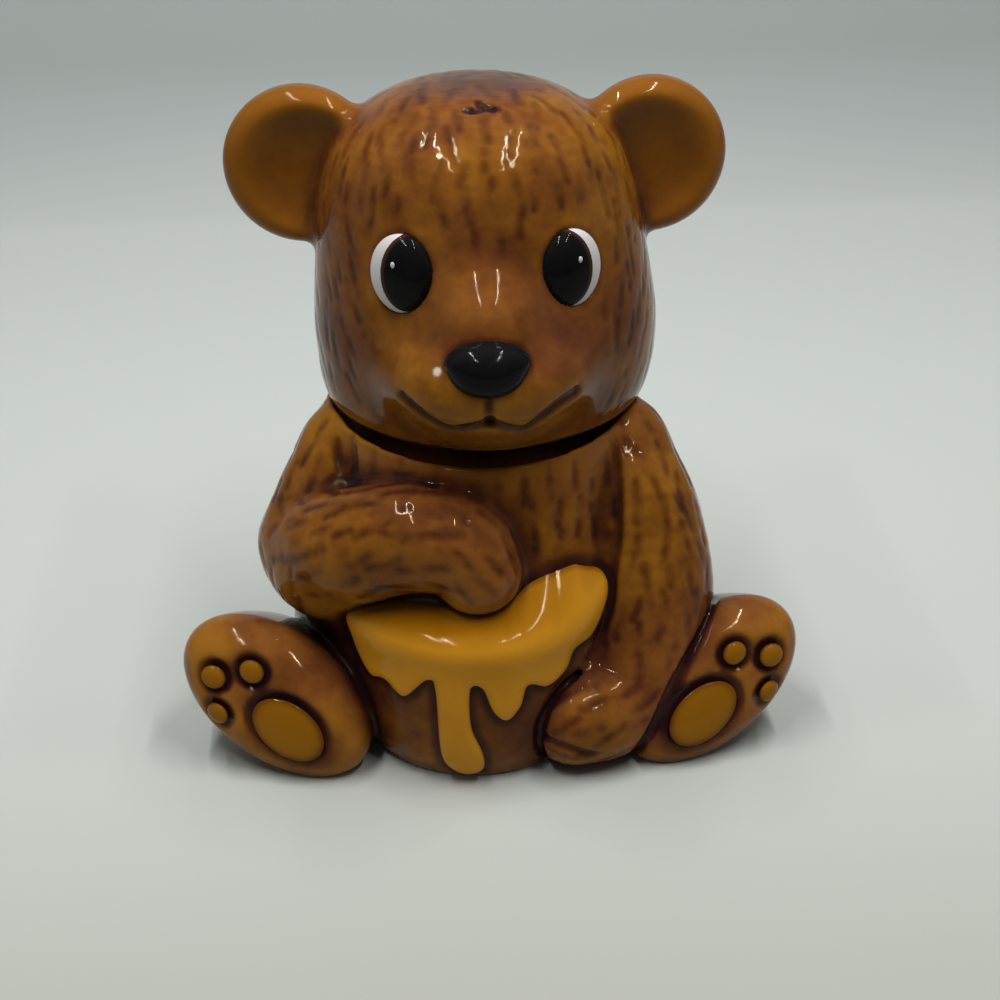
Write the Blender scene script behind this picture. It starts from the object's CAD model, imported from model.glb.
import math
import bpy
import numpy as np
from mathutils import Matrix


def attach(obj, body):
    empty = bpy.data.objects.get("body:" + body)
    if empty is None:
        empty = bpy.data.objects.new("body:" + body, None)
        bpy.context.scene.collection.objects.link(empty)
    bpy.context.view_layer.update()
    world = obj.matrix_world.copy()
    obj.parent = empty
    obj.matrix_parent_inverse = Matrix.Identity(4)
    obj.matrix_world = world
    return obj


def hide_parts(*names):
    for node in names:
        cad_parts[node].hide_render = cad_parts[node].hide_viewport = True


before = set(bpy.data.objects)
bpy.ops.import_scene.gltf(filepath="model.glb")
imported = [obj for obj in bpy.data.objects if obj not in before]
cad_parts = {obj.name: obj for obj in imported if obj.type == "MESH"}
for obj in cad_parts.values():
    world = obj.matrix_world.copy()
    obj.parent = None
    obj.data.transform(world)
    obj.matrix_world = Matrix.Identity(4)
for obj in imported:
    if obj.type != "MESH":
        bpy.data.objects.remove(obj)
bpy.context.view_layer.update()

import openvdb
from mathutils import Matrix

print("honey pot: frame loaded")

# The photographed view: a phone held a little above the pot, looking down
shot = {
    "place": (-0.02104, -0.40145, 0.233),
    "pitch": 25.2,          # degrees below level
    "heading": 3.55,        # degrees clockwise from +Y
    "roll": 0.65,
    "lens": 73.8,
}


def setCamera():
    heading, pitch, roll = (math.radians(shot[k]) for k in ("heading", "pitch", "roll"))
    right = np.array([math.cos(heading), -math.sin(heading), 0])
    level = np.array([math.sin(heading), math.cos(heading), 0])
    ahead = level * math.cos(pitch) - np.array([0, 0, math.sin(pitch)])
    up = np.cross(right, ahead)
    turnedRight = right * math.cos(roll) - up * math.sin(roll)
    turnedUp = up * math.cos(roll) + right * math.sin(roll)
    camera = bpy.data.objects.new("photoCamera", bpy.data.cameras.new("photoCamera"))
    bpy.context.scene.collection.objects.link(camera)
    camera.data.lens = shot["lens"]
    camera.data.sensor_width = 36
    camera.data.clip_start = 0.01
    rows = [list(v) for v in zip(turnedRight, turnedUp, -ahead, shot["place"])] + [[0, 0, 0, 1]]
    camera.matrix_world = Matrix(rows)
    bpy.context.scene.camera = camera


setCamera()

# Clay forms: each is a distance from its surface in millimetres, with the box that it fills


def smoothPath(points, steps=6, closed=False):      # a curve through the points
    p = np.array(points, float)
    if closed:
        p = np.vstack([p[-1], p, p[0], p[1]])
    else:
        p = np.vstack([2 * p[0] - p[1], p, 2 * p[-1] - p[-2]])
    run = []
    for a, b, c, d in zip(p, p[1:], p[2:], p[3:]):
        for t in np.arange(steps) / steps:
            run.append(0.5 * (2 * b + (c - a) * t + (2 * a - 5 * b + 4 * c - d) * t ** 2
                              + (3 * b - a - 3 * c + d) * t ** 3))
    if not closed:
        run.append(p[-2])
    return np.array(run)


def turnAbout(axis, degrees):
    x, y, z = np.array(axis, float) / np.linalg.norm(axis)
    c, s = math.cos(math.radians(degrees)), math.sin(math.radians(degrees))
    cross = np.array([[0, -z, y], [z, 0, -x], [-y, x, 0]])
    return np.eye(3) * c + cross * s + (1 - c) * np.outer([x, y, z], [x, y, z])


def ownAxes(x, y, z, centre, axes):
    dx, dy, dz = x - centre[0], y - centre[1], z - centre[2]
    return [dx * a[0] + dy * a[1] + dz * a[2] for a in np.array(axes, np.float32)]


def ovalGap(p, semi):                   # close to the true gap from an ellipse or ellipsoid
    least = 0.02                        # keeps the middle from dividing by nothing
    k0 = np.maximum(np.sqrt(sum((q / s) ** 2 for q, s in zip(p, semi))), least)
    k1 = np.sqrt(sum((q / s ** 2) ** 2 for q, s in zip(p, semi)))
    return k0 * (k0 - 1) / np.maximum(k1, least / max(semi))


def egg(centre, semi, axes=np.eye(3)):
    def distance(x, y, z):
        return ovalGap(ownAxes(x, y, z, centre, axes), semi)
    reach = max(semi)
    return distance, np.array(centre) - reach, np.array(centre) + reach


def limb(stations, steps=4):
    path = smoothPath(stations, steps).astype(np.float32)

    def distance(x, y, z):
        best = None
        for a, b in zip(path, path[1:]):
            run = b[:3] - a[:3]
            t = ((x - a[0]) * run[0] + (y - a[1]) * run[1] + (z - a[2]) * run[2]) / (run @ run)
            t = np.clip(t, 0, 1)
            gap = np.sqrt((x - a[0] - run[0] * t) ** 2 + (y - a[1] - run[1] * t) ** 2
                          + (z - a[2] - run[2] * t) ** 2) - (a[3] + (b[3] - a[3]) * t)
            best = gap if best is None else np.minimum(best, gap)
        return best
    thick = path[:, 3].max()
    return distance, path[:, :3].min(0) - thick, path[:, :3].max(0) + thick


def outlineTable(loop, edges, low, high, step):         # gaps from a flat outline, under 0 inside it
    u = np.arange(low[0], high[0], step)
    v = np.arange(low[1], high[1], step)
    uu, vv = np.meshgrid(u, v, indexing="ij")
    best = np.full(uu.shape, 1e9)
    inside = np.zeros(uu.shape, bool)
    for i, (a, b) in enumerate(zip(loop, np.roll(loop, -1, 0))):
        if i < edges:
            d = b - a
            t = np.clip(((uu - a[0]) * d[0] + (vv - a[1]) * d[1]) / max(d @ d, 1e-9), 0, 1)
            best = np.minimum(best, np.hypot(uu - a[0] - d[0] * t, vv - a[1] - d[1] * t))
        if a[1] != b[1]:
            crossing = (a[1] > vv) != (b[1] > vv)
            inside ^= crossing & (uu < (b[0] - a[0]) * (vv - a[1]) / (b[1] - a[1]) + a[0])
    return u, v, np.where(inside, -best, best)


wheel = {"step": 0.4, "margin": 12}         # of the table behind a turned form


def turned(profile, middle=(0, 0), smooth=True, sway=((0, 1), (0, 0))):     # a form turned on the wheel
    run = smoothPath(profile, 5) if smooth else np.array(profile, float)
    loop = np.vstack([[0, run[0][1]], run, [0, run[-1][1]]])
    widest, lowest, highest = run[:, 0].max(), run[:, 1].min(), run[:, 1].max()
    step, margin = wheel["step"], wheel["margin"]
    rAxis, zAxis, table = outlineTable(loop, len(loop) - 1, (0, lowest - margin),
                                       (widest + margin, highest + margin), step)

    def distance(x, y, z):
        out = np.empty((x.size, y.size, z.size), np.float32)
        place = np.clip((z.ravel() - zAxis[0]) / step, 0, len(zAxis) - 1.001)
        for k, p in enumerate(place):
            i, f = int(p), p - int(p)
            aside = middle[0] + np.interp(z.ravel()[k], *sway)
            r = np.sqrt((x - aside) ** 2 + (y - middle[1]) ** 2)[:, :, 0]
            out[:, :, k] = np.interp(r, rAxis, table[:, i] * (1 - f) + table[:, i + 1] * f)
        return out
    low = np.array([middle[0] - widest, middle[1] - widest, lowest])
    high = np.array([middle[0] + widest, middle[1] + widest, highest])
    return distance, low, high


def smoothMin(a, b, soft):
    h = np.clip(0.5 + 0.5 * (b - a) / soft, 0, 1)
    return b + (a - b) * h - soft * h * (1 - h)


clay = {"far": 20, "margin": 6, "passes": 3, "relax": 0.6}          # far: the value of an empty block
toMetres = 0.001


def clayBlock(low, high, step):
    axes = [np.arange(a, b + step, step, dtype=np.float32) for a, b in zip(low, high)]
    return {"axes": axes, "step": step, "field": np.full([len(a) for a in axes], clay["far"], np.float32)}


def window(block, low, high):
    cut = tuple(slice(*np.searchsorted(axis, ends)) for axis, ends in zip(block["axes"], zip(low, high)))
    x, y, z = (axis[c] for axis, c in zip(block["axes"], cut))
    return cut, x[:, None, None], y[None, :, None], z[None, None, :]


def addClay(block, form, soft, sign=1):
    distance, low, high = form
    cut, x, y, z = window(block, low - soft - clay["margin"], high + soft + clay["margin"])
    block["field"][cut] = sign * smoothMin(sign * block["field"][cut], distance(x, y, z), soft)


def cutClay(block, form, soft):
    addClay(block, form, soft, -1)


def feel(block, field, points):         # the field's value at any points
    f = [np.clip((points[:, i] - axis[0]) / block["step"], 0, len(axis) - 1.001)
         for i, axis in enumerate(block["axes"])]
    i, j, k = (c.astype(int) for c in f)
    a, b, c = f[0] - i, f[1] - j, f[2] - k
    total = 0
    for di, wa in ((0, 1 - a), (1, a)):
        for dj, wb in ((0, 1 - b), (1, b)):
            for dk, wc in ((0, 1 - c), (1, c)):
                total = total + field[i + di, j + dj, k + dk] * wa * wb * wc
    return total


def slope(block, points):
    cols = []
    for axis in np.eye(3) * block["step"]:
        cols.append(feel(block, block["field"], points + axis) - feel(block, block["field"], points - axis))
    g = np.stack(cols, -1)
    return g / np.maximum(np.linalg.norm(g, axis=1, keepdims=True), 1e-9)


def castSkin(block):                    # the surface of the clay as points and quads
    grid = openvdb.FloatGrid()
    grid.copyFromArray(np.ascontiguousarray(block["field"]))
    points, quads = grid.convertToQuads(isovalue=0.0)
    low = np.array([axis[0] for axis in block["axes"]])
    points = points.astype(float) * block["step"] + low
    quads = quads.astype(int)
    ends = np.concatenate([quads[:, [0, 1]], quads[:, [1, 2]], quads[:, [2, 3]], quads[:, [3, 0]]])
    count = np.bincount(ends[:, 0], minlength=len(points)) + np.bincount(ends[:, 1], minlength=len(points))
    relax = clay["relax"]
    for _ in range(clay["passes"]):
        mean = np.stack([np.bincount(ends[:, 0], points[ends[:, 1], i], len(points))
                         + np.bincount(ends[:, 1], points[ends[:, 0], i], len(points)) for i in range(3)], -1)
        points = points * (1 - relax) + mean / count[:, None] * relax
        points -= slope(block, points) * feel(block, block["field"], points)[:, None]
    a, b, c = points[quads[:, 0]], points[quads[:, 1]], points[quads[:, 2]]
    if np.einsum("ij,ij->i", a, np.cross(b, c)).sum() < 0:
        quads = quads[:, ::-1]
    return points, quads


def dropFaces(points, quads, keep):
    quads = quads[keep]
    used, back = np.unique(quads, return_inverse=True)
    return points[used], back.reshape(quads.shape)


def softened(field, reach):             # a running mean, for finding hollows and ridges
    out = field
    for axis in range(3):
        size = out.shape[axis]
        total = np.cumsum(out, axis=axis, dtype=np.float64)
        total = np.concatenate([np.zeros_like(total.take([0], axis)), total], axis)
        high = np.minimum(np.arange(size) + reach + 1, size)
        low = np.maximum(np.arange(size) - reach, 0)
        shape = [1, 1, 1]
        shape[axis] = size
        out = (total.take(high, axis) - total.take(low, axis)) / (high - low).reshape(shape)
    return out


def meshPiece(name, points, quads, material, layers=None):
    mesh = bpy.data.meshes.new(name)
    mesh.from_pydata((points * toMetres).tolist(), [], quads.tolist())
    mesh.polygons.foreach_set("use_smooth", np.ones(len(mesh.polygons), bool))
    for key, values in (layers or {}).items():
        kind = "FLOAT_VECTOR" if values.ndim == 2 else "FLOAT"
        layer = mesh.attributes.new(key, kind, "POINT")
        layer.data.foreach_set("vector" if values.ndim == 2 else "value", values.astype(np.float32).ravel())
    mesh.materials.append(material)
    mesh.update()
    piece = bpy.data.objects.new(name, mesh)
    bpy.context.scene.collection.objects.link(piece)
    return piece


def ramp(value, low, high):
    t = np.clip((value - low) / (high - low), 0, 1)
    return t * t * (3 - 2 * t)


def gathered(value, weight, start, full):       # weight from nothing at start to all of it at full
    return weight * ramp(value, start, full)


# Glazes. Each reads the clay's own layers: pool where glaze gathers, olive on the ears, bare without glaze,
# dull on the hidden seat, furMark in a pressed stroke, tint at a pupil's edge
def newMaterial(name):
    material = bpy.data.materials.new(name)
    material.use_nodes = True
    return material, material.node_tree, material.node_tree.nodes["Principled BSDF"]


def node(tree, kind, settings=None, inputs=None):
    made = tree.nodes.new(kind)
    for key, value in (settings or {}).items():
        setattr(made, key, value)
    for key, value in (inputs or {}).items():
        if isinstance(value, bpy.types.NodeSocket):
            tree.links.new(value, made.inputs[key])
        else:
            made.inputs[key].default_value = value
    return made


def colourRamp(tree, value, stops):
    made = node(tree, "ShaderNodeValToRGB", None, {"Fac": value})
    ends = made.color_ramp.elements
    while len(ends) < len(stops):
        ends.new(0.5)
    for end, (place, colour) in zip(ends, stops):
        end.position = place
        end.color = (*colour, 1)
    return made.outputs["Color"]


def mixColour(tree, factor, a, b):
    a, b = ((*c, 1) if isinstance(c, tuple) else c for c in (a, b))
    return node(tree, "ShaderNodeMix", {"data_type": "RGBA"}, {0: factor, 6: a, 7: b}).outputs[2]


def sums(tree, operation, a, b):
    return node(tree, "ShaderNodeMath", {"operation": operation}, {0: a, 1: b}).outputs[0]


def mapped(tree, value, ends=(0.0, 1.0), to=(0.0, 1.0), smooth=False):
    made = node(tree, "ShaderNodeMapRange", {"interpolation_type": "SMOOTHSTEP" if smooth else "LINEAR"}, {
        "Value": value, "From Min": ends[0], "From Max": ends[1], "To Min": to[0], "To Max": to[1]})
    return made.outputs[0]


def layer(tree, name):
    return node(tree, "ShaderNodeAttribute", {"attribute_name": name}).outputs["Fac"]


def noiseAt(tree, scale, detail=3.0, rough=0.55, stretch=(1, 1, 1)):
    place = node(tree, "ShaderNodeTexCoord").outputs["Object"]
    place = node(tree, "ShaderNodeMapping", None, {"Vector": place, "Scale": stretch}).outputs[0]
    made = node(tree, "ShaderNodeTexNoise", None, {
        "Vector": place, "Scale": scale, "Detail": detail, "Roughness": rough})
    return made.outputs["Fac"]


# Fired glaze mirrors lamps sharply but only a little of the pale room
shine = {"level": 0.14, "tint": (1.0, 0.78, 0.5, 1), "paintLevel": 0.07, "paintTint": (1, 1, 1, 1),
         "index": 1.5}


def setSurface(tree, shader, colour, rough, level=shine["level"], tint=shine["tint"]):
    tree.links.new(colour, shader.inputs["Base Color"])
    tree.links.new(rough, shader.inputs["Roughness"])
    for key, value in (("IOR", shine["index"]), ("Specular IOR Level", level), ("Specular Tint", tint)):
        shader.inputs[key].default_value = value


def setRipple(tree, shader, strength, depth, height):
    made = node(tree, "ShaderNodeBump", None, {"Strength": strength, "Distance": depth, "Height": height})
    tree.links.new(made.outputs[0], shader.inputs["Normal"])


amber = {           # colours from thin glaze to deep, noises as scale, detail and roughness
    "gold": ((0.305, 0.124, 0.013), (0.192, 0.067, 0.008), (0.090, 0.026, 0.006), (0.026, 0.008, 0.006)),
    "russet": ((0.250, 0.088, 0.017), (0.146, 0.045, 0.011), (0.074, 0.020, 0.008), (0.022, 0.006, 0.007)),
    "places": (0.0, 0.32, 0.64, 1.0),
    "ear": (0.238, 0.085, 0.009), "bareClay": (0.62, 0.55, 0.46),
    "noises": {"cloud": (62, 5, 0.62), "mottle": (170, 4, 0.6), "speck": (420, 3, 0.55)},
    "swings": {"cloud": 0.95, "mottle": 0.5, "speck": 0.18}, "stroke": 0.40,
    "patches": (34, 4, 0.5), "patchEnds": (0.42, 0.6),
    "speckEnds": (0.3, 0.7), "rough": (0.05, 0.11), "bareRough": 0.6, "dullRough": 0.5,
    "ripple": (0.12, 0.0006), "ripples": (160, 3),
}


def makeAmberGlaze():
    material, tree, shader = newMaterial("amberGlaze")
    noises = {key: noiseAt(tree, *values) for key, values in amber["noises"].items()}
    depth = layer(tree, "pool")
    for key, value in noises.items():
        swing = sums(tree, "MULTIPLY", sums(tree, "SUBTRACT", value, 0.5), amber["swings"][key])
        depth = sums(tree, "ADD", depth, swing)
    depth = sums(tree, "ADD", depth, sums(tree, "MULTIPLY", layer(tree, "furMark"), amber["stroke"]))
    gold, russet = (colourRamp(tree, depth, list(zip(amber["places"], amber[k]))) for k in ("gold", "russet"))
    patch = mapped(tree, noiseAt(tree, *amber["patches"]), amber["patchEnds"], smooth=True)
    colour = mixColour(tree, patch, gold, russet)
    ear = mixColour(tree, depth, amber["ear"], amber["gold"][2])
    colour = mixColour(tree, layer(tree, "olive"), colour, ear)
    colour = mixColour(tree, layer(tree, "bare"), colour, amber["bareClay"])
    rough = mapped(tree, noises["speck"], amber["speckEnds"], amber["rough"])
    for key in ("bare", "dull"):
        rough = sums(tree, "ADD", rough, sums(tree, "MULTIPLY", layer(tree, key), amber[key + "Rough"]))
    setRipple(tree, shader, *amber["ripple"], noiseAt(tree, *amber["ripples"]))
    setSurface(tree, shader, colour, rough)
    return material


yellow = {          # colours from thin glaze to deep
    "honey": ((0.54, 0.235, 0.015), (0.33, 0.126, 0.003), (0.12, 0.036, 0.004)),
    "pads": ((0.26, 0.105, 0.005), (0.21, 0.080, 0.004), (0.075, 0.024, 0.004)),
    "places": (0.0, 0.5, 1.0),
    "cloud": (90, 3), "swing": 0.35, "grain": (500, 2), "rough": (0.06, 0.14),
    "ripple": (0.1, 0.0006), "ripples": (200, 3),
}


def makeYellowGlaze(name, colours):
    material, tree, shader = newMaterial(name)
    cloud = sums(tree, "SUBTRACT", noiseAt(tree, *yellow["cloud"]), 0.5)
    depth = sums(tree, "ADD", layer(tree, "pool"), sums(tree, "MULTIPLY", cloud, yellow["swing"]))
    colour = colourRamp(tree, depth, list(zip(yellow["places"], colours)))
    rough = mapped(tree, noiseAt(tree, *yellow["grain"]), to=yellow["rough"])
    setRipple(tree, shader, *yellow["ripple"], noiseAt(tree, *yellow["ripples"]))
    setSurface(tree, shader, colour, rough)
    return material


paint = {           # brushed colours: plain, streaked, the smoothest roughness, and a pupil's edge
    "black": ((0.004, 0.004, 0.005), (0.010, 0.009, 0.009), 0.05),
    "white": ((0.64, 0.62, 0.62), (0.54, 0.51, 0.51), 0.08),
    "pupil": ((0.004, 0.004, 0.005), (0.010, 0.009, 0.009), 0.04, (0.045, 0.018, 0.012)),
    "brush": (300, 4, 0.6, (1, 1, 0.35)), "uneven": 0.06, "ripple": (0.12, 0.0004),
}


def makePaintGlaze(name, colour, streak, rough, edge=None):
    material, tree, shader = newMaterial(name)
    brush = noiseAt(tree, *paint["brush"])
    colour = mixColour(tree, brush, colour, streak)
    if edge:
        colour = mixColour(tree, layer(tree, "tint"), colour, edge)
    else:
        setRipple(tree, shader, *paint["ripple"], brush)
    polish = mapped(tree, brush, to=(rough, rough + paint["uneven"]))
    setSurface(tree, shader, colour, polish, shine["paintLevel"], shine["paintTint"])
    return material


amberGlaze = makeAmberGlaze()
pupilGlaze = makePaintGlaze("pupilGlaze", *paint["pupil"])
honeyGlaze = makeYellowGlaze("honeyGlaze", yellow["honey"])
padGlaze = makeYellowGlaze("padGlaze", yellow["pads"])
blackGlaze = makePaintGlaze("blackGlaze", *paint["black"])
whiteGlaze = makePaintGlaze("whiteGlaze", *paint["white"])
print("honey pot: glazes mixed")


def roundedPlate(centre, axes, outline, thick, rounding, taper=0.0):      # an oval plate with rounded edges
    def distance(x, y, z):
        u, v, w = ownAxes(x, y, z, centre, axes)
        draw = 1 / (1 - taper * np.clip(0.5 - w / thick, 0, 1) ** 2)
        flat = ovalGap((u * draw, v * draw), outline) + rounding
        deep = np.abs(w) - thick / 2 + rounding
        outside = np.sqrt(np.maximum(flat, 0) ** 2 + np.maximum(deep, 0) ** 2)
        return np.minimum(np.maximum(flat, deep), 0) + outside - rounding
    reach = np.full(3, math.hypot(max(outline), thick / 2))
    return distance, np.array(centre) - reach, np.array(centre) + reach


def seam(first, second, radius):        # a tube along the line where two surfaces meet
    def distance(x, y, z):
        return np.sqrt(first[0](x, y, z) ** 2 + second[0](x, y, z) ** 2) - radius
    return distance, np.maximum(first[1], second[1]), np.minimum(first[2], second[2])


def everywhere(distance):
    return distance, np.full(3, -200.0), np.full(3, 200.0)


def onFace(block, x, z):                        # a point on the front of the clay
    step = 0.2
    y = np.arange(block["axes"][1][0], block["axes"][1][-1], step)
    path = np.stack([np.full_like(y, x), y, np.full_like(y, z)], -1)
    hit = np.argmax(feel(block, block["field"], path) < 0)
    return [x, y[hit] - step / 2, z]


def groove(block, run, radius, soft=0.7):       # a line pressed into the front, thinner towards its ends
    spots = smoothPath(run, 3)
    lead = 0.35                                 # radians of the taper left off at each end
    taper = np.sin(np.linspace(lead, math.pi - lead, len(spots))) * 0.5 + 0.5
    stations = [onFace(block, x, z) + [radius * k] for (x, z), k in zip(spots, taper)]
    line = limb(stations, 1)
    cutClay(block, line, soft)
    return line


def nearLimb(stations, points):         # gap from a limb, and the way it runs there
    path = smoothPath(stations, 4)
    best = np.full(len(points), 1e9)
    way = np.zeros((len(points), 3))
    for a, b in zip(path, path[1:]):
        run = b[:3] - a[:3]
        t = np.clip((points - a[:3]) @ run / (run @ run), 0, 1)
        gap = np.linalg.norm(points - a[:3] - t[:, None] * run, axis=1) - (a[3] + (b[3] - a[3]) * t)
        closer = gap < best
        best[closer] = gap[closer]
        way[closer] = run / np.linalg.norm(run)
    return best, way


def turnedGap(profile, points, middle=(0, 0)):
    r, z = np.array(profile, float).T
    return np.hypot(points[:, 0] - middle[0], points[:, 1] - middle[1]) - np.interp(points[:, 2], z, r)


def hollows(block, points, reaches):    # over 0 in a crease, under 0 on a ridge, in steps of the grid
    total = 0
    for reach, weight in reaches:
        total = total - weight * feel(block, softened(block["field"], reach), points)
    return total


def lathe(profile, count=96):           # a plain turned wall, seen from inside
    angle = np.arange(count) / count * 2 * math.pi
    rows = [np.stack([r * np.cos(angle), r * np.sin(angle), np.full(count, z)], -1) for r, z in profile]
    points = np.concatenate(rows)
    quads = []
    for i in range(len(profile) - 1):
        for j in range(count):
            k = (j + 1) % count
            quads.append((i * count + j, (i + 1) * count + j, (i + 1) * count + k, i * count + k))
    return points, np.array(quads)


def joinMeshes(a, b):
    return np.vstack([a[0], b[0]]), np.vstack([a[1], b[1] + len(a[0])])


def linedPiece(name, skin, layers, profile, bare, way):         # a skin joined to the plain wall inside it
    wall = lathe(smoothPath(profile, 4))
    more = len(wall[0])
    plain = {"pool": 0.3, "olive": 0.0, "bare": bare, "dull": 0.0, "furMask": 0.0}
    joined = {key: np.concatenate([layers[key], np.full(more, value)]) for key, value in plain.items()}
    joined["furFlow"] = np.concatenate([layers["furFlow"], np.tile(way, (more, 1))])
    points, quads = joinMeshes(skin, wall)
    return meshPiece(name, points, quads, amberGlaze, joined)


sides = (("left", 1), ("right", -1))        # the bear's left is at +X
feet = {"middle": {-1: (-46.4, -37.3, 16.8), 1: (46.9, -37.3, 16.4)},
        "outline": (22.8, 14.3), "length": 32, "rounding": 9.2, "taper": 0.36,
        "lean": 36, "outwards": 12, "upwards": 15}
pads = {        # along the sole, across it, and half-sizes
    "heel": (-6.2, -1.8, 8.4, 5.5), "inner_toe": (6.8, 3.8, 2.7, 2.4),
    "middle_toe": (12.6, -2, 2.7, 2.4), "outer_toe": (7.7, -8.2, 2.5, 2.3),
}
padLook = {"depth": 1.0, "ringDepth": 1.5, "ringWidth": 1.6, "step": 0.3, "margin": 1.5, "blend": 0.3,
           "pool": 0.15, "rim": (0.7, 0.7, 1.0), "probe": (-1, 8, 0.02), "feel": 0.2}


def soleAxes(side):
    out, up, lean = (math.radians(feet[k]) for k in ("outwards", "upwards", "lean"))
    normal = np.array([side * math.sin(out) * math.cos(up), -math.cos(out) * math.cos(up), math.sin(up)])
    across = np.cross(normal, [side * math.cos(lean), 0, math.sin(lean)])
    across /= np.linalg.norm(across)
    return np.array([np.cross(across, normal), across, normal])


def footForm(side):
    axes = soleAxes(side)
    middle = np.array(feet["middle"][side]) - axes[2] * feet["length"] / 2
    return roundedPlate(middle, axes, feet["outline"], feet["length"], feet["rounding"], feet["taper"])


def padForm(side, place, grow=0.0, thick=padLook["depth"]):
    along, across, long, wide = place
    axes = soleAxes(side)
    sole = footForm(side)[0]
    over = np.array(feet["middle"][side]) + along * axes[0] + side * across * axes[1]
    drop = over - np.arange(*padLook["probe"])[:, None] * axes[2]
    spot = drop[np.argmax(sole(*drop.T) < 0)]
    out = np.array([sole(*(spot + step)) - sole(*(spot - step)) for step in np.eye(3) * padLook["feel"]])
    out /= np.linalg.norm(out)
    first = axes[0] - out * (axes[0] @ out)
    first /= np.linalg.norm(first)
    return egg(spot, (long + grow, wide + grow, thick), np.array([first, np.cross(out, first), out]))


honey = {           # lip and rise: places across, then the lip's height there and the climb inwards from it
    "step": 0.42, "low": (-36, -50, -2), "high": (31, 1, 52), "backEnd": -3,
    "outline": ((24.2, 0), (27.9, 7), (29.3, 17), (29.4, 27), (30.2, 33), (30.4, 39), (30, 52)),
    "lip": ((-29, -11, 5, 12.6, 17, 21, 24), (34.8, 33.8, 33.5, 34.5, 36.5, 39, 41)),
    "rise": ((-29, -11, 2, 12.5, 17, 22), (0.5, 0.45, 0.62, 1.2, 1.38, 1.08)),
    "lipRadius": 30.2, "flatten": 0.8, "tableStep": 0.3, "tableMargin": 2,
    "edge": ((-31.5, 40), (-22, 47), (0, 49), (12, 47.4), (17.5, 45.8), (22, 43.4), (24.4, 40), (24, 35.4),
             (20.6, 29.6), (16.5, 28.5), (14.6, 24.6), (10.4, 22.2), (6.4, 23.6), (4.8, 19), (2, 16.2),
             (-0.8, 18.4), (-3, 24), (-5.3, 24), (-5.3, 15), (-3, 8), (-2.8, 3.2), (-6, 1.2), (-9.4, 3),
             (-11.6, 8), (-12.4, 23), (-14, 25.4), (-18.7, 20.4), (-22.6, 23), (-25.6, 22.6), (-28.8, 28)),
    "blend": {"coat": 2, "lip": 4, "edge": 1.8, "back": 0.5},
}
body = {
    "step": 0.68, "low": (-66, -50, -2.5), "high": (66, 45, 78),
    "torso": ((35.5, 0), (40, 5), (41.9, 16), (40.8, 28), (38, 40), (35.6, 50), (34, 59), (32.8, 66),
              (32.4, 74)),
    "elbow": ((-32, -20.5, 39), (12.5, 11.5, 10.5)),
    "shoulders": (((-29.6, -7, 60.5), (8.6, 9, 9.6)), ((30, -10, 60.5), (8.6, 9, 9.6))),
    "jar": ((22.5, 0), (26.2, 7), (27.6, 17), (27.2, 27), (25.4, 33)), "jarMiddle": (-3, -18.5),
    "saddle": 147, "rim": 66, "jawGap": 0.35, "seam": 0.85, "crease": 1.0,
    "dish": ((22.4, 50), (22.4, 62.5), (28.4, 62.5), (31.4, 66), (31, 76)),
    "well": ((22.7, 59), (22.5, 56), (31, 50), (33.4, 40), (36.2, 28), (37.3, 16), (31, 5.2), (0.3, 5)),
    "arms": {
        "upper": ((-26.4, -7, 60.5, 9.2), (-29.6, -9, 54, 12), (-32.4, -11, 48, 12.5),
                  (-35, -13.5, 41.5, 12.6)),
        "fore": ((-35.6, -14, 42.6, 11.8), (-28.5, -26.5, 47, 12), (-17, -32, 51.4, 11.4),
                 (-7, -34.5, 50.4, 10.6), (-3, -36.5, 45.5, 9)),
        "hugging": ((27.2, -11.6, 60.5, 9.8), (29.7, -14.4, 53, 12.4), (31.4, -17.4, 45, 13.9),
                    (32.3, -20.4, 33, 15.1), (31.4, -24.5, 22, 14.4), (28, -29.6, 14.6, 12.6),
                    (22.8, -34, 11.6, 11.4), (17, -36.6, 10.9, 10.4)),
    },
    "creases": (((26.2, 65.5), (26.4, 59.5), (26, 49.7), (24.8, 41.4), (23.9, 33.7), (21.8, 27.6),
                 (19.4, 24)),
                ((-30.3, 65.8), (-30.3, 63.6), (-30, 61)),
                ((9, 10.3), (14, 9.2), (19.5, 7.2))),
    "blend": {"torso": 1, "jar": 1.6, "feet": 1.8, "arms": 2, "elbow": 4, "seam": 0.8, "saddle": 1,
              "shoulders": 3, "dish": 0.8, "jaw": 0.5, "pads": 0.9, "base": 0.8},
}


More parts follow.
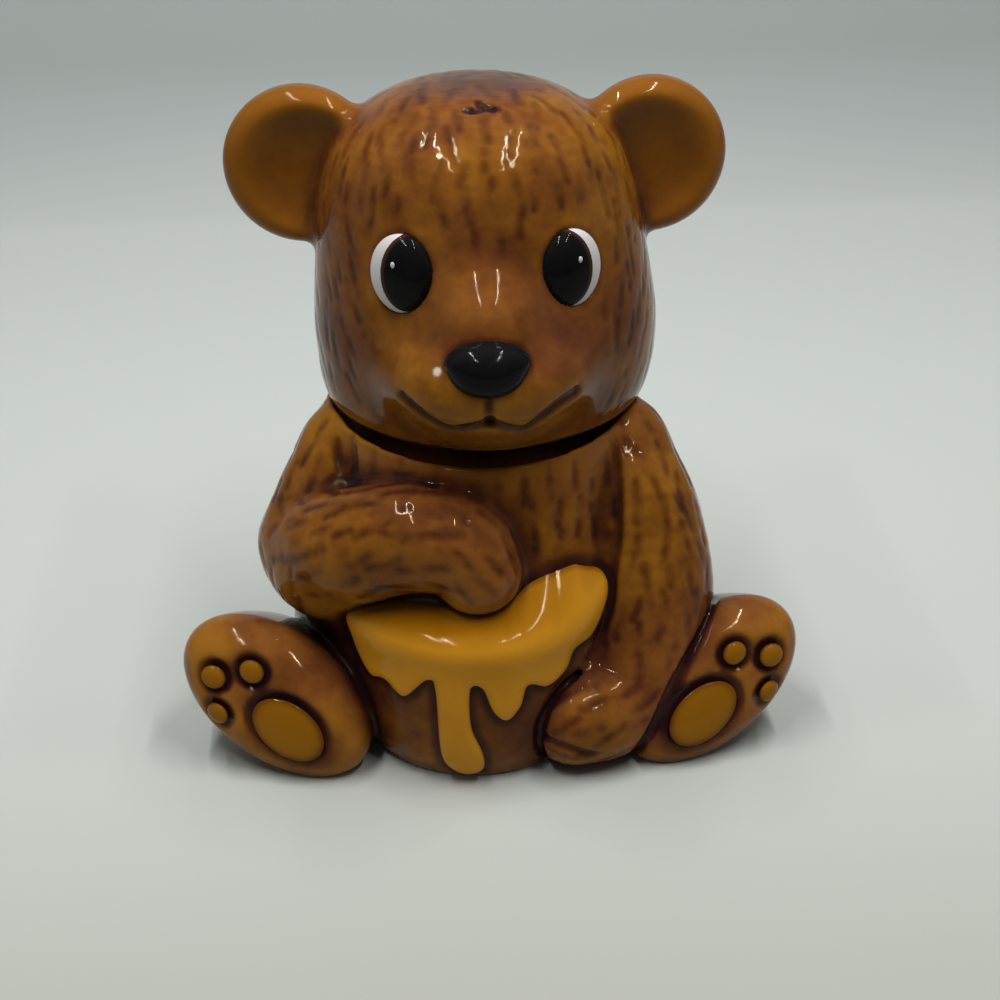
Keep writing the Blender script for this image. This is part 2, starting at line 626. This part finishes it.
# The head, which is the lid. It stands here because the body's dish follows its jaw
head = {
    "step": 0.5, "low": (-53, -49, 53), "high": (53, 37, 137.5),
    "skull": ((25.4, 62.5), (25.8, 66), (28, 68.1), (31.2, 69.9), (33, 71.7), (34.3, 75.4), (35.1, 81),
              (35.3, 89), (33.7, 103), (31.6, 116), (26.6, 127), (15, 134.2), (0.2, 135.8)),
    "sway": ((62, 70, 80, 90, 105, 119, 136), (0, 0.8, 1.3, 1.2, 0.4, -0.3, -0.3)),
    "muzzle": ((0, -24, 85.5), (21.5, 22, 13.6)),
    "snout": ((0, -26, 97.6), (11, 15, 10.5)),
    "chin": ((0, -24.5, 76.8), (13.6, 13.8, 6.4)),
    "ear": {"middle": (35.2, 3, 119), "outline": (16, 16), "thick": 11, "rounding": 5, "turn": 10,
            "dish": 13.4, "dishDepth": 4.2, "dishIn": 3.4},
    "flange": ((21.8, 54.5), (21.8, 67)), "bore": ((18.2, 52), (18.2, 60)),
    "hollow": ((18, 58), (18.2, 66), (25.7, 71.4), (29.8, 81), (30.6, 89), (29.1, 103), (27.1, 116),
               (22, 126), (10, 131), (0.3, 131.5)),
    "mouth": (((-0.8, 87), (-0.9, 84.1), (-0.6, 81)),
              ((-0.6, 81), (-4.2, 79.2), (-7.7, 78.1), (-11.1, 79.4), (-15.4, 82.5), (-17, 83.8)),
              ((-0.6, 81), (3.3, 78.5), (6.5, 77.9), (9.5, 80.2), (13.4, 82.9), (16.6, 83.8))),
    "mouthCut": ((0.8, 0.8), (1.3, 1.5), (1.3, 1.5)),       # radius and softness of each line
    "furFrom": (0, -30, 20), "eyeSeat": -0.1, "earMargin": 3,
    "chip": (((-1.6, -16.3, 133.9), (1.9, 1.2, 0.9)), ((0.6, -15.4, 134.2), (1.4, 1.8, 0.9)),
             ((2.4, -15.9, 134.1), (1.6, 1.0, 0.8)), ((-0.2, -14.1, 134.6), (0.8, 1.5, 0.8))),
    "fleck": (-10.3, -41.5, 90.5),
    "blend": {"skull": 1, "muzzle": 6, "snout": 6, "chin": 3, "earPlate": 0.5, "earDish": 1.2, "ear": 3,
              "eye": 0.6, "flange": 1, "bore": 0.6, "chip": 0.4},
}


def pourHoney():
    blend, middle = honey["blend"], body["jarMiddle"]
    block = clayBlock(honey["low"], honey["high"], honey["step"])
    addClay(block, turned(honey["outline"], middle), blend["coat"])

    def above(x, y, z):
        inwards = honey["lipRadius"] - np.sqrt((x - middle[0]) ** 2 + (y - middle[1]) ** 2)
        level = np.interp(x, *honey["lip"]) + np.interp(x, *honey["rise"]) * inwards
        return (level - z) * honey["flatten"]
    cutClay(block, everywhere(above), blend["lip"])
    edge = smoothPath(honey["edge"], 6, True)
    step, margin = honey["tableStep"], honey["tableMargin"]
    low = [honey["low"][i] - margin for i in (0, 2)]
    high = [honey["high"][i] + margin for i in (0, 2)]
    xAxis, zAxis, table = outlineTable(edge, len(edge), low, high, step)
    flat = {"axes": (xAxis, zAxis, [0, step]), "step": step}
    table = np.repeat(table[:, :, None], 2, 2)
    x, _, z = block["axes"]
    rows = [np.stack([x, np.full_like(x, h), np.zeros_like(x)], -1) for h in z]
    column = np.stack([feel(flat, table, row) for row in rows], -1)
    block["field"] = -smoothMin(-block["field"], -column[:, None, :].astype(np.float32), blend["edge"])
    cutClay(block, everywhere(lambda x, y, z: honey["backEnd"] - y + 0 * x + 0 * z), blend["back"])
    return block


def mouldBody():
    blend = body["blend"]
    block = clayBlock(body["low"], body["high"], body["step"])
    jar = turned(body["jar"], body["jarMiddle"])
    addClay(block, turned(body["torso"]), blend["torso"])
    addClay(block, jar, blend["jar"])
    for side in (-1, 1):
        addClay(block, footForm(side), blend["feet"])
    for stations in body["arms"].values():
        addClay(block, limb(stations), blend["arms"])
    addClay(block, egg(*body["elbow"]), blend["elbow"])
    paw = limb(body["arms"]["hugging"])
    for other in (footForm(1), jar):
        cutClay(block, seam(paw, other, body["seam"]), blend["seam"])
    middle = body["rim"] + body["saddle"]

    def saddle(x, y, z):
        return np.sqrt(x ** 2 + (z - middle) ** 2) - body["saddle"] + 0 * y
    cutClay(block, everywhere(saddle), blend["saddle"])
    for shoulder in body["shoulders"]:
        addClay(block, egg(*shoulder), blend["shoulders"])
    cutClay(block, turned(body["dish"], smooth=False), blend["dish"])
    jaw = [(r + body["jawGap"], z - body["jawGap"]) for r, z in head["skull"][2:6]]
    cutClay(block, turned(jaw), blend["jaw"])
    for side in (-1, 1):
        for place in pads.values():
            cutClay(block, padForm(side, place, padLook["ringWidth"], padLook["ringDepth"]), blend["pads"])
    for run in body["creases"]:
        groove(block, run, body["crease"])
    cutClay(block, everywhere(lambda x, y, z: z + 0 * x + 0 * y), blend["base"])
    return block


honeyBlock = pourHoney()
bodyBlock = mouldBody()
print("honey pot: body and honey moulded")


def nearest(forms, points):             # gap from the nearest of some forms
    return np.min([distance(*points.T) for distance, _, _ in forms], 0)


def alongSurface(block, points, way):
    face = slope(block, points)
    way = way - face * np.einsum("ij,ij->i", way, face)[:, None]
    return way / np.maximum(np.linalg.norm(way, axis=1, keepdims=True), 1e-6)


bodyGlaze = {       # weight, then the gap in millimetres where glaze starts to gather and where it is full
    "pool": 0.40, "crease": 0.5, "reaches": ((3, 1.0), (7, 0.55)), "most": 1.3,
    "soles": (0.05, 1, -0.5), "honeyEdge": (0.5, 2.4, 0.2), "padEdge": (0.5, 1.9, 0.5),
    "jarFace": {"pool": 0.14, "gap": 1, "front": -30, "aside": 0.5, "top": 34},
    "seat": {"pool": 0.15, "radius": 33.5, "low": 60, "gap": -0.6},
    "arm": {"edge": (1.2, -0.2), "proud": 0.5, "share": 0.3}, "spreadDown": 0.004, "bare": (0.9, 0.35),
    "fur": {"crease": (0.9, 0.3), "honey": (1.5, 4), "soles": (0.5, 3), "low": 3},
    "cutOut": {"radius": 24, "low": 40, "high": 57},
}


def openSkin(block, hole):              # the cast skin, without the part that an inner wall stands for
    points, quads = castSkin(block)
    middle = points[quads].mean(1)
    radius = np.hypot(middle[:, 0], middle[:, 1])
    inHole = (radius < hole["radius"]) & (middle[:, 2] > hole["low"]) & (middle[:, 2] < hole["high"])
    return dropFaces(points, quads, ~inHole)


def dressBody(block):
    look = bodyGlaze
    face, seat, bent, lie = look["jarFace"], look["seat"], look["arm"], look["fur"]
    points, quads = openSkin(block, look["cutOut"])
    x, y, z = points.T
    radius = np.hypot(x, y)
    crease = hollows(block, points, look["reaches"])
    nearHoney = feel(honeyBlock, honeyBlock["field"], points)
    nearPads = nearest([padForm(side, place) for side in (-1, 1) for place in pads.values()], points)
    soles = nearest([footForm(side) for side in (-1, 1)], points)
    jar = turnedGap(body["jar"], points, body["jarMiddle"])
    torso = turnedGap(body["torso"], points)
    gaps, ways = zip(*(nearLimb(stations, points) for stations in body["arms"].values()))
    arms = np.min(gaps, 0)
    onArm = ramp(arms, *bent["edge"]) * (arms < torso + bent["proud"])
    flow = np.take_along_axis(np.stack(ways), np.argmin(gaps, 0)[None, :, None], 0)[0]
    down = np.stack([x * look["spreadDown"], y * look["spreadDown"], np.full(len(points), -1)], -1)
    flow = alongSurface(block, points, np.where((onArm > bent["share"])[:, None], flow, down))
    inside = (radius < seat["radius"]) & (z > seat["low"]) & (torso < seat["gap"])
    jarFace = (jar < face["gap"]) & (y < face["front"]) & (z < face["top"])
    jarFace &= (arms > face["aside"]) & (soles > face["aside"])
    pool = look["pool"] + crease * look["crease"] + face["pool"] * jarFace
    for gap, key in ((soles, "soles"), (nearHoney, "honeyEdge"), (nearPads, "padEdge")):
        pool = pool + gathered(gap, *look[key])
    pool = np.where(inside, seat["pool"], pool)
    mask = ramp(crease, *lie["crease"]) * ramp(nearHoney, *lie["honey"]) * ramp(soles, *lie["soles"])
    mask = mask * ~inside * ~jarFace * (z > lie["low"])
    layers = {"pool": np.clip(pool, 0, look["most"]), "olive": np.zeros(len(points)),
              "bare": ramp(z, *look["bare"]), "dull": inside, "furMask": mask, "furFlow": flow}
    return linedPiece("bearBodySkin", (points, quads), layers, body["well"], 0.0, (0.0, 0.0, -1.0))


# Pressed fur: short strokes scattered over the clay and pushed in along the way the fur lies
fur = {
    "both": {"Spacing": 0.0049, "Width": 0.0017},
    "body": {"Seed": 7, "Length": 0.0070, "Depth": 0.00024, "Tint": 1.1},
    "head": {"Seed": 11, "Length": 0.0072, "Depth": 0.00013, "Tint": 0.85},
}
strokes = {"points": 4, "density": 300000.0, "lean": 0.32, "leanSeed": 5, "size": (0.55, 1.25), "sizeSeed": 0,
           "ruffle": (220.0, 2.0), "ruffleEnds": (0.35, 0.62), "ruffleTo": (0.15, 1.0)}


def furTree():
    tree = bpy.data.node_groups.new("pressedFur", "GeometryNodeTree")
    face = tree.interface
    face.new_socket("Geometry", in_out="INPUT", socket_type="NodeSocketGeometry")
    face.new_socket("Geometry", in_out="OUTPUT", socket_type="NodeSocketGeometry")
    for name, kind in (("Seed", "Int"), ("Spacing", "Float"), ("Length", "Float"), ("Width", "Float"),
                       ("Depth", "Float"), ("Tint", "Float"), ("Glaze", "Material")):
        face.new_socket(name, in_out="INPUT", socket_type="NodeSocket" + kind)
    given = tree.nodes.new("NodeGroupInput").outputs

    def read(name, kind):
        made = node(tree, "GeometryNodeInputNamedAttribute", {"data_type": kind}, {"Name": name})
        return made.outputs["Attribute"]

    def chance(low, high, seed):
        made = node(tree, "FunctionNodeRandomValue", {"data_type": "FLOAT"}, {2: low, 3: high, "Seed": seed})
        return made.outputs[1]

    mask, way = read("furMask", "FLOAT"), read("furFlow", "FLOAT_VECTOR")
    spots = node(tree, "GeometryNodeDistributePointsOnFaces", {"distribute_method": "POISSON"}, {
        "Mesh": given["Geometry"], "Distance Min": given["Spacing"], "Density Max": strokes["density"],
        "Density Factor": mask, "Seed": given["Seed"]})
    stroke = node(tree, "GeometryNodeMeshLine", {"mode": "END_POINTS"}, {"Count": strokes["points"]})
    half = sums(tree, "MULTIPLY", given["Length"], 0.5)
    low = sums(tree, "MULTIPLY", half, -1.0)
    for end, name in ((low, "Start Location"), (half, "Offset")):
        tree.links.new(node(tree, "ShaderNodeCombineXYZ", None, {"Z": end}).outputs[0], stroke.inputs[name])
    way = node(tree, "ShaderNodeVectorRotate", {"rotation_type": "AXIS_ANGLE"}, {
        "Vector": way, "Axis": spots.outputs["Normal"],
        "Angle": chance(-strokes["lean"], strokes["lean"], strokes["leanSeed"])}).outputs[0]
    turn = node(tree, "FunctionNodeAlignRotationToVector", {"axis": "Z"}, {"Vector": way})
    laid = node(tree, "GeometryNodeInstanceOnPoints", None, {
        "Points": spots.outputs["Points"], "Instance": stroke.outputs["Mesh"], "Rotation": turn.outputs[0],
        "Scale": chance(*strokes["size"], strokes["sizeSeed"])})
    laid = node(tree, "GeometryNodeRealizeInstances", None, {"Geometry": laid.outputs["Instances"]})
    reach = node(tree, "GeometryNodeProximity", {"target_element": "EDGES"}, {0: laid.outputs["Geometry"]})
    mark = mapped(tree, reach.outputs["Distance"], (given["Width"], 0.0), smooth=True)
    scale, detail = strokes["ruffle"]
    ruffle = node(tree, "ShaderNodeTexNoise", None, {"Scale": scale, "Detail": detail}).outputs["Fac"]
    mark = sums(tree, "MULTIPLY", mark, mapped(tree, ruffle, strokes["ruffleEnds"], strokes["ruffleTo"]))
    mark = sums(tree, "MULTIPLY", mark, mask)
    shade = sums(tree, "MULTIPLY", mark, given["Tint"])
    kept = node(tree, "GeometryNodeStoreNamedAttribute", {"data_type": "FLOAT", "domain": "POINT"}, {
        "Geometry": given["Geometry"], "Name": "furMark", "Value": shade})
    push = sums(tree, "MULTIPLY", sums(tree, "MULTIPLY", mark, given["Depth"]), -1.0)
    aside = node(tree, "ShaderNodeVectorMath", {"operation": "SCALE"}, {
        0: node(tree, "GeometryNodeInputNormal").outputs[0], "Scale": push})
    moved = node(tree, "GeometryNodeSetPosition", None, {
        "Geometry": kept.outputs[0], "Offset": aside.outputs[0]})
    whole = node(tree, "GeometryNodeRealizeInstances", None, {"Geometry": moved.outputs[0]})
    glazed = node(tree, "GeometryNodeSetMaterial", None, {
        "Geometry": whole.outputs[0], "Material": given["Glaze"]})
    tree.links.new(glazed.outputs[0], tree.nodes.new("NodeGroupOutput").inputs[0])
    return tree


furNodes = furTree()


def baked(skin, tree, inputs, name):
    worn = skin.modifiers.new(tree.name, "NODES")
    worn.node_group = tree
    for item in tree.interface.items_tree:
        if item.in_out == "INPUT" and item.name in inputs:
            worn[item.identifier] = inputs[item.name]
    view = bpy.context.evaluated_depsgraph_get()
    mesh = bpy.data.meshes.new_from_object(skin.evaluated_get(view), depsgraph=view)
    mesh.name = name
    piece = bpy.data.objects.new(name, mesh)
    bpy.context.scene.collection.objects.link(piece)
    skin.modifiers.remove(worn)
    old = skin.data
    bpy.data.objects.remove(skin)
    bpy.data.meshes.remove(old)
    return piece


def pressFur(skin, name, where):
    return baked(skin, furNodes, {**fur["both"], **fur[where], "Glaze": amberGlaze}, name)


bearBody = pressFur(dressBody(bodyBlock), "bearBody", "body")
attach(bearBody, "pot")
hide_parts("body_pot")
print("honey pot: body dressed,", len(bearBody.data.polygons), "faces")


honeyDepth = {"pool": 0.06, "crease": 0.4, "reaches": ((3, 1.0), (8, 0.5)), "rim": (0.4, 0.9, 0.1),
              "top": (0.42, 0.35, 0.9)}


def dressHoney(block):
    points, quads = castSkin(block)
    crease = hollows(block, points, honeyDepth["reaches"])
    rim = feel(bodyBlock, bodyBlock["field"], points)
    up = slope(block, points)[:, 2]
    pool = honeyDepth["pool"] + crease * honeyDepth["crease"] + gathered(rim, *honeyDepth["rim"])
    pool = pool + gathered(up, *honeyDepth["top"])
    return meshPiece("runningHoney", points, quads, honeyGlaze, {"pool": np.clip(pool, 0, 1)})


runningHoney = dressHoney(honeyBlock)
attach(runningHoney, "pot")
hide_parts("honey_overflow")


def makePad(side, name, place):
    form = padForm(side, place)
    block = clayBlock(form[1] - padLook["margin"], form[2] + padLook["margin"], padLook["step"])
    addClay(block, form, padLook["blend"])
    points, quads = castSkin(block)
    rim = np.linalg.norm((points - points.mean(0)) @ soleAxes(side)[:2].T / place[2:4], axis=1)
    pool = padLook["pool"] + gathered(rim, *padLook["rim"])
    return meshPiece(name, points, quads, padGlaze, {"pool": pool})


for sideName, side in sides:
    for toe, place in pads.items():
        words = toe.split("_")
        pad = makePad(side, sideName + "".join(w.capitalize() for w in words) + "Pad", place)
        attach(pad, "pot")
        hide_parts(sideName + "_" + toe + "_pad")
print("honey pot: honey and pads poured")


eyes = {            # pupil is the brown edge, black the paint inside it, both as half sizes
    "apart": 16.2, "forward": -28.4, "up": 105.6, "semi": (6.5, 3.6, 7.9), "turn": 28,
    "pupilShift": 1.9, "pupil": (4.9, 7.7), "black": (4.25, 7.15), "blackShift": 2.35, "raised": 0.6,
    "proud": 0.15, "edgeTint": (-0.1, 0.3), "ragged": 0.22, "waves": (2.3, 4.9),
    "dot": (-0.1, -3.5, 2.8), "dotSemi": (0.45, 0.3, 0.65), "dotReach": 2,
    "reach": 10, "step": 0.3, "blackStep": 0.25, "dotStep": 0.12, "blend": 0.3, "dotBlend": 0.1,
}
nose = {"top": ((-0.8, -42.4, 92.4), (8.2, 5, 4)), "low": ((-0.8, -42.8, 89.8), (6.7, 4.9, 4.4)),
        "corners": ((-12, -49, 82), (12, -34, 100)), "step": 0.3, "topBlend": 0.5, "lowBlend": 2.5}


def earForm(side):
    ear = head["ear"]
    turn = turnAbout((0, 0, 1), side * ear["turn"])
    axes = (turn @ np.array([[1, 0, 0], [0, 0, 1], [0, -1, 0]]).T).T
    middle = np.array(ear["middle"]) * (side, 1, 1)
    plate = roundedPlate(middle, axes, ear["outline"], ear["thick"], ear["rounding"])
    ball = (ear["dish"] ** 2 + ear["dishDepth"] ** 2) / (2 * ear["dishDepth"])
    away = middle + axes[2] * (ear["thick"] / 2 - ear["dishDepth"] + ball) - axes[0] * side * ear["dishIn"]
    return plate, egg(away, (ball, ball, ball))


def eyeForm(side, grow=0.0):
    axes = turnAbout((0, 0, 1), side * eyes["turn"]).T
    centre = (side * eyes["apart"], eyes["forward"], eyes["up"])
    return egg(centre, [s + grow for s in eyes["semi"]], axes), axes, np.array(centre)


def feelForm(small, form, inset=4):     # a finished small block used as a form
    def distance(x, y, z):
        x, y, z = np.broadcast_arrays(x, y, z)
        spots = np.stack([x.ravel(), y.ravel(), z.ravel()], -1)
        return feel(small, small["field"], spots).reshape(x.shape).astype(np.float32)
    return distance, form[1] + inset, form[2] - inset


def mouldHead():
    blend = head["blend"]
    block = clayBlock(head["low"], head["high"], head["step"])
    addClay(block, turned(head["skull"], sway=head["sway"]), blend["skull"])
    for name in ("muzzle", "snout", "chin"):
        addClay(block, egg(*head[name]), blend[name])
    for side in (-1, 1):
        plate, dish = earForm(side)
        ear = clayBlock(plate[1] - head["earMargin"], plate[2] + head["earMargin"], head["step"])
        addClay(ear, plate, blend["earPlate"])
        cutClay(ear, dish, blend["earDish"])
        addClay(block, feelForm(ear, plate), blend["ear"])
        cutClay(block, eyeForm(side, head["eyeSeat"])[0], blend["eye"])
    addClay(block, turned(head["flange"], smooth=False), blend["flange"])
    cutClay(block, turned(head["bore"], smooth=False), blend["bore"])
    lines = [groove(block, run, *cut) for run, cut in zip(head["mouth"], head["mouthCut"])]
    for spot in head["chip"]:
        cutClay(block, egg(*spot), blend["chip"])
    return block, lines


headBlock, mouthLines = mouldHead()
print("honey pot: head moulded")


headGlaze = {       # as for the body, with heights for lowFace, bareRing, dull and low
    "pool": 0.32, "crease": 0.5, "reaches": ((3, 1.1), (8, 0.5)), "most": 1.3,
    "eyes": (0.35, 1.8, 0.2), "mouth": (0.35, 0.8, -0.5), "lowFace": (0.12, 100, 92), "nose": (0.3, 1.2, 0.1),
    "chip": (0.5, 0.5, -0.1), "fleck": (0.9, 1.1, 0.6),
    "ear": (2.5, -0.2), "offSkull": (0.5, 4), "bareRing": (62.4, 61.6), "ringRadius": 26, "dull": (70, 68),
    "fur": {"crease": (0.8, 0.2), "eyes": (2, 4.5), "face": (2, 6), "ears": (4, 1.5), "low": (70, 75)},
    "cutOut": {"radius": 19, "low": 57.5, "high": 70},
}


def dressHead(block):
    look = headGlaze
    lie = look["fur"]
    points, quads = openSkin(block, look["cutOut"])
    x, y, z = points.T
    crease = hollows(block, points, look["reaches"])
    nearEyes = nearest([eyeForm(side)[0] for side in (-1, 1)], points)
    nearMouth = nearest(mouthLines, points)
    nearNose = nearest([egg(*nose["top"])], points)
    nearChip = nearest([egg(*spot) for spot in head["chip"]], points)
    nearFleck = np.linalg.norm(points - np.array(head["fleck"]), axis=1)
    ears = nearest([earForm(side)[0] for side in (-1, 1)], points)
    onEar = ramp(ears, *look["ear"]) * ramp(turnedGap(head["skull"], points), *look["offSkull"])
    face = nearest([egg(*head[k]) for k in ("muzzle", "snout", "chin")], points)
    pool = look["pool"] + crease * look["crease"]
    for gap, key in ((nearEyes, "eyes"), (nearMouth, "mouth"), (z, "lowFace"), (nearNose, "nose"),
                     (nearChip, "chip")):
        pool = pool + gathered(gap, *look[key])
    bare = ramp(z, *look["bareRing"]) * (np.hypot(x, y) < look["ringRadius"])
    bare = bare + gathered(nearFleck, *look["fleck"])
    mask = ramp(crease, *lie["crease"]) * ramp(nearEyes, *lie["eyes"]) * ramp(face, *lie["face"])
    mask = mask * (1 - ramp(ears, *lie["ears"])) * ramp(z, *lie["low"])
    away = alongSurface(block, points, points - np.array(head["furFrom"]))
    layers = {"pool": np.clip(pool, 0, look["most"]), "olive": onEar, "bare": np.clip(bare, 0, 1),
              "dull": ramp(z, *look["dull"]), "furMask": mask, "furFlow": away}
    return linedPiece("bearHeadSkin", (points, quads), layers, head["hollow"], 1.0, (0.0, 0.0, 1.0))


bearHead = pressFur(dressHead(headBlock), "bearHead", "head")
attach(bearHead, "lid")
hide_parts("head_lid")
print("honey pot: head dressed,", len(bearHead.data.polygons), "faces")


def makeNose():
    block = clayBlock(*nose["corners"], nose["step"])
    addClay(block, egg(*nose["top"]), nose["topBlend"])
    addClay(block, egg(*nose["low"]), nose["lowBlend"])
    points, quads = castSkin(block)
    return meshPiece("bearNose", points, quads, blackGlaze)


def makeEye(side, name):
    dome, axes, centre = eyeForm(side)
    low, high = centre - eyes["reach"], centre + eyes["reach"]
    white = clayBlock(low, high, eyes["step"])
    addClay(white, dome, eyes["blend"])
    spot = centre + np.array(eyes["dot"]) @ axes
    dot = clayBlock(spot - eyes["dotReach"], spot + eyes["dotReach"], eyes["dotStep"])
    addClay(dot, egg(spot, eyes["dotSemi"], axes), eyes["dotBlend"])
    points, quads = joinMeshes(castSkin(white), castSkin(dot))
    eyeWhite = meshPiece(name + "EyeWhite", points, quads, whiteGlaze)
    black = clayBlock(low, high, eyes["blackStep"])
    addClay(black, eyeForm(side, eyes["proud"])[0], eyes["blend"])
    wide, fine = eyes["waves"]

    def outline(half, shift):           # a brushed oval, ragged on its inner side
        def distance(x, y, z):
            u, _, w = ownAxes(x, y, z, centre, axes)
            u, w = u + side * shift, w - eyes["raised"]
            brush = eyes["ragged"] * np.sin(wide * w + 1) * np.sin(fine * w) * (side * u < 0)
            return (np.sqrt((u / half[0]) ** 2 + (w / half[1]) ** 2) - 1) * min(half) + brush
        return distance
    around = outline(eyes["pupil"], eyes["pupilShift"])
    cutClay(black, everywhere(lambda x, y, z: -around(x, y, z)), eyes["blend"])
    points, quads = castSkin(black)
    tint = ramp(outline(eyes["black"], eyes["blackShift"])(*points.T), *eyes["edgeTint"])
    return eyeWhite, meshPiece(name + "EyePupil", points, quads, pupilGlaze, {"tint": tint})


bearNose = makeNose()
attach(bearNose, "lid")
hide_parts("nose")
for sideName, side in sides:
    eyeWhite, eyePupil = makeEye(side, sideName)
    for piece, nodeName, slotName in ((eyeWhite, "_eye_white", "white_glaze"),
                                      (eyePupil, "_eye_pupil", "black_glaze")):
        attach(piece, "lid")
        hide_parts(sideName + nodeName)
print("honey pot: nose and eyes painted")


# Studio: a pale sweep under two rows of small lamps, open to a dim room in front
studio = {          # floor: colours by the share of the way back
    "floor": ((0.10, (0.27, 0.275, 0.245)), (0.31, (0.40, 0.41, 0.37)), (0.43, (0.50, 0.525, 0.49)),
              (0.70, (0.61, 0.64, 0.61)), (0.93, (0.67, 0.70, 0.67)), (1.0, (0.50, 0.535, 0.52))),
    "halfWidth": 1.6, "near": -0.32, "bend": 0.40, "wall": 0.9, "bendRadius": 0.05, "bendSteps": 12,
    "cloud": (6, 2), "swing": 0.02, "rough": 0.7,
    "lamps": {"apart": 0.18, "height": 0.62, "near": -0.42, "far": 0.12, "count": 27, "size": 0.008,
              "strength": 480.0},
    "room": {"front": 0.06, "around": 0.38, "above": 0.06, "frontEnds": (-0.55, 0.0),
             "aboveEnds": (0.35, 0.8), "tint": (0.96, 1.0, 0.99, 1)},
}


def makeSweep():
    wide, near, far = studio["halfWidth"], studio["near"], studio["bend"]
    r, steps = studio["bendRadius"], studio["bendSteps"]
    run = [(near, 0.0), (far - r, 0.0)]
    for i in range(1, steps + 1):
        a = i / steps * math.pi / 2
        run.append((far - r + r * math.sin(a), r - r * math.cos(a)))
    run.append((far, studio["wall"]))
    points = np.array([(s * wide, y, z) for y, z in run for s in (-1, 1)]) / toMetres
    quads = np.array([(2 * i, 2 * i + 1, 2 * i + 3, 2 * i + 2) for i in range(len(run) - 1)])
    material, tree, shader = newMaterial("paleSweep")
    place = node(tree, "ShaderNodeTexCoord").outputs["Object"]
    place = node(tree, "ShaderNodeSeparateXYZ", None, {0: place}).outputs["Y"]
    back = mapped(tree, place, (near, far))
    back = sums(tree, "ADD", back, sums(tree, "MULTIPLY", noiseAt(tree, *studio["cloud"]), studio["swing"]))
    tree.links.new(colourRamp(tree, back, studio["floor"]), shader.inputs["Base Color"])
    shader.inputs["Roughness"].default_value = studio["rough"]
    return meshPiece("paleSweep", points, quads, material)


def makeLamps():
    lamps = studio["lamps"]
    half = lamps["size"] / 2
    points, quads = [], []
    for x in (-lamps["apart"], lamps["apart"]):
        for y in np.linspace(lamps["near"], lamps["far"], lamps["count"]):
            quads.append([len(points) + k for k in range(4)])
            for dx, dy in ((-1, -1), (-1, 1), (1, 1), (1, -1)):
                points.append((x + dx * half, y + dy * half, lamps["height"]))
    material = bpy.data.materials.new("smallLamps")
    material.use_nodes = True
    tree = material.node_tree
    tree.nodes.clear()
    glow = node(tree, "ShaderNodeEmission", None, {"Strength": lamps["strength"]})
    tree.links.new(glow.outputs[0], tree.nodes.new("ShaderNodeOutputMaterial").inputs[0])
    return meshPiece("smallLamps", np.array(points) / toMetres, np.array(quads), material)


def setWorld():
    world = bpy.data.worlds.new("studioWorld")
    bpy.context.scene.world = world
    world.use_nodes = True
    tree = world.node_tree
    room = studio["room"]
    way = node(tree, "ShaderNodeTexCoord").outputs["Generated"]
    parts = node(tree, "ShaderNodeSeparateXYZ", None, {0: way}).outputs
    front = mapped(tree, parts["Y"], room["frontEnds"], (room["front"], room["around"]), smooth=True)
    high = mapped(tree, parts["Z"], room["aboveEnds"], (0.0, room["above"]), smooth=True)
    tree.links.new(sums(tree, "ADD", front, high), tree.nodes["Background"].inputs["Strength"])
    tree.nodes["Background"].inputs["Color"].default_value = room["tint"]


makeSweep()
makeLamps()
setWorld()
bpy.context.scene.view_settings.view_transform = "Standard"

print("honey pot: finished")
